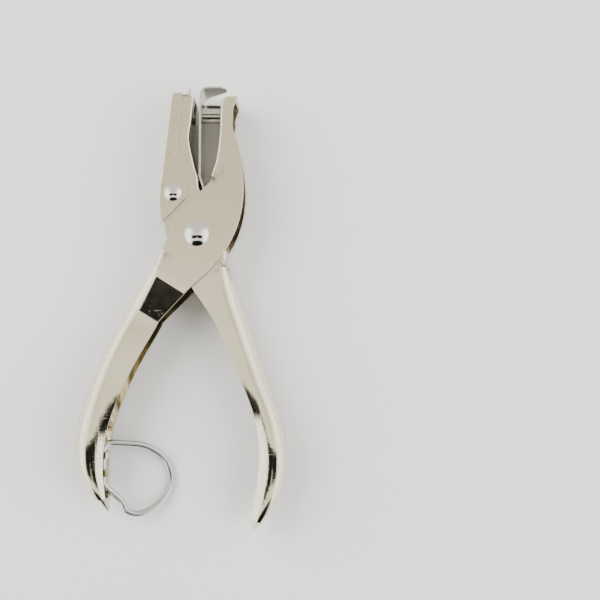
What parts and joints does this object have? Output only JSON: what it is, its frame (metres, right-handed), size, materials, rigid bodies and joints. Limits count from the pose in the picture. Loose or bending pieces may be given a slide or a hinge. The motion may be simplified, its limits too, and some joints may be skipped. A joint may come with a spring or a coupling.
{
  "type": "hole punch",
  "caption": "Hand-held single hole punch of pressed steel: crossed levers, round pin and die, hinged chad cover and wire hanging loop.",
  "frame": {"origin": "centre of the bottom of the box, the punch lying on its back", "axes": "+Y towards the jaws, -Y along the handles, +Z out of the front face, +X towards the punch jaw's side"},
  "size_m": [0.0696, 0.1478, 0.0185],
  "materials": {
    "nickel_plate": "satin nickel plate on pressed sheet",
    "hard_steel": "ground and hardened",
    "spring_wire": "drawn and nickel plated wire"
  },
  "bodies": {
    "outer_lever": {"punch_lever": "nickel_plate", "punch_pin": "hard_steel", "pivot_rivet": "nickel_plate", "pivot_sleeve": "hard_steel", "return_spring": "spring_wire"},
    "inner_lever": {"die_lever": "nickel_plate", "die_bush": "hard_steel", "stripper": "nickel_plate", "stripper_rivet": "nickel_plate", "cover_rivet": "nickel_plate"},
    "cover": {"chad_cover": "nickel_plate"},
    "loop": {"hang_loop": "spring_wire"}
  },
  "joints": [
    {"name": "lever_pivot", "type": "hinge", "parent": "outer_lever", "child": "inner_lever", "pos_m": [0.0052, 0.02339, 0.00876], "axis": [0, 0, -1], "range_deg": [0, 6.3], "stiffness_Nm_per_rad": 2, "springref_deg": -14.32, "deforming": ["return_spring"]},
    {"name": "cover_hinge", "type": "hinge", "parent": "inner_lever", "child": "cover", "pos_m": [-0.00285, 0.03729, 0.00876], "axis": [0, 0, 1], "range_deg": [0, 16]},
    {"name": "loop_hinge", "type": "hinge", "parent": "outer_lever", "child": "loop", "pos_m": [-0.026, -0.04521, 0.00876], "axis": [0.0143, -0.9999, 0], "range_deg": [-12, 60]}
  ]
}
